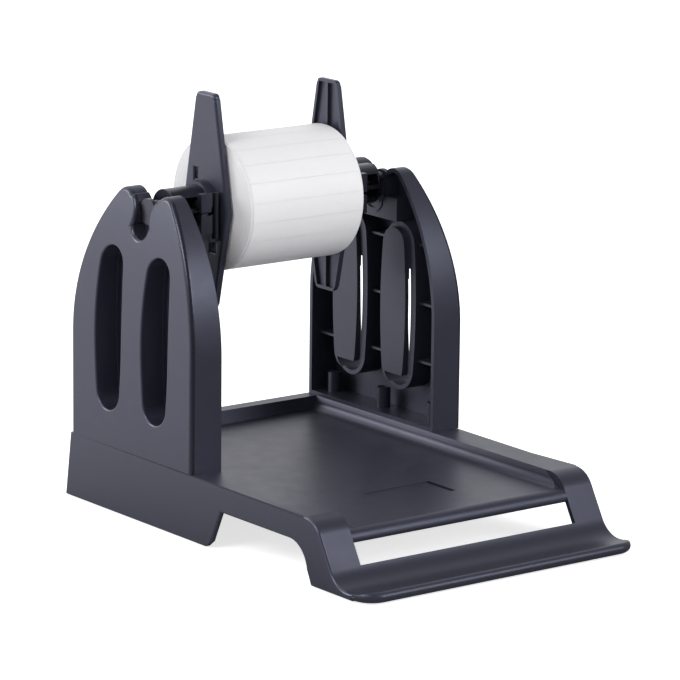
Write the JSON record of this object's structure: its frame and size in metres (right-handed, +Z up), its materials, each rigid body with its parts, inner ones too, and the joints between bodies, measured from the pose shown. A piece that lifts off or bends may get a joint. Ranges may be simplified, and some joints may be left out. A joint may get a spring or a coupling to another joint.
{
  "type": "label roll holder",
  "caption": "Desk stand for a label roll: tray with a front exit lip, notched uprights and a lift-out ribbed spindle with sliding guide flanges.",
  "frame": {"origin": "centre of the stand's footprint, on the table plane under the feet", "axes": "+X along the spindle to the right, +Y from the exit lip to the rear wall, +Z up"},
  "size_m": [0.2, 0.3, 0.251],
  "materials": {
    "black_plastic": "satin moulded",
    "spindle_plastic": "satin moulded",
    "lock_plastic": "satin moulded",
    "bush_plastic": "smooth",
    "screw_steel": "zinc plated",
    "spring_steel": "bright wire",
    "foot_rubber": "matte",
    "core_board": "wound board",
    "label_paper": "thermal label stock"
  },
  "bodies": {
    "stand": {"base_tray": "black_plastic", "left_upright": "black_plastic", "right_upright": "black_plastic", "left_upright_screws": "screw_steel", "right_upright_screws": "screw_steel", "front_left_foot": "foot_rubber", "front_right_foot": "foot_rubber", "rear_left_foot": "foot_rubber", "rear_right_foot": "foot_rubber"},
    "bushes": {"left_bush": "bush_plastic", "right_bush": "bush_plastic"},
    "spindle": {"spindle": "spindle_plastic"},
    "left_guide": {"left_flange": "black_plastic", "left_lock_spring": "spring_steel"},
    "right_guide": {"right_flange": "black_plastic", "right_lock_spring": "spring_steel"},
    "left_lock": {"left_lock": "lock_plastic"},
    "right_lock": {"right_lock": "lock_plastic"},
    "roll": {"label_core": "core_board", "label_roll": "label_paper"}
  },
  "joints": [
    {"name": "spindle_lift", "type": "slide", "parent": "stand", "child": "bushes", "axis": [0, 0, 1], "range_m": [0, 0.04]},
    {"name": "spindle_turn", "type": "hinge", "parent": "bushes", "child": "spindle", "pos_m": [0, 0.0805, 0.184], "axis": [1, 0, 0], "continuous": true},
    {"name": "left_flange_slide", "type": "slide", "parent": "spindle", "child": "left_guide", "axis": [-1, 0, 0], "range_m": [0, 0.012]},
    {"name": "right_flange_slide", "type": "slide", "parent": "spindle", "child": "right_guide", "axis": [1, 0, 0], "range_m": [0, 0.012]},
    {"name": "left_lock_press", "type": "slide", "parent": "left_guide", "child": "left_lock", "axis": [0, 1, 0], "range_m": [0, 0.0015], "stiffness_N_per_m": 400, "springref_m": -0.0005, "deforming": ["left_lock_spring"]},
    {"name": "right_lock_press", "type": "slide", "parent": "right_guide", "child": "right_lock", "axis": [0, 1, 0], "range_m": [0, 0.0015], "stiffness_N_per_m": 400, "springref_m": -0.0005, "deforming": ["right_lock_spring"]},
    {"name": "roll_spin", "type": "hinge", "parent": "spindle", "child": "roll", "pos_m": [0, 0.0805, 0.184], "axis": [1, 0, 0], "continuous": true}
  ]
}
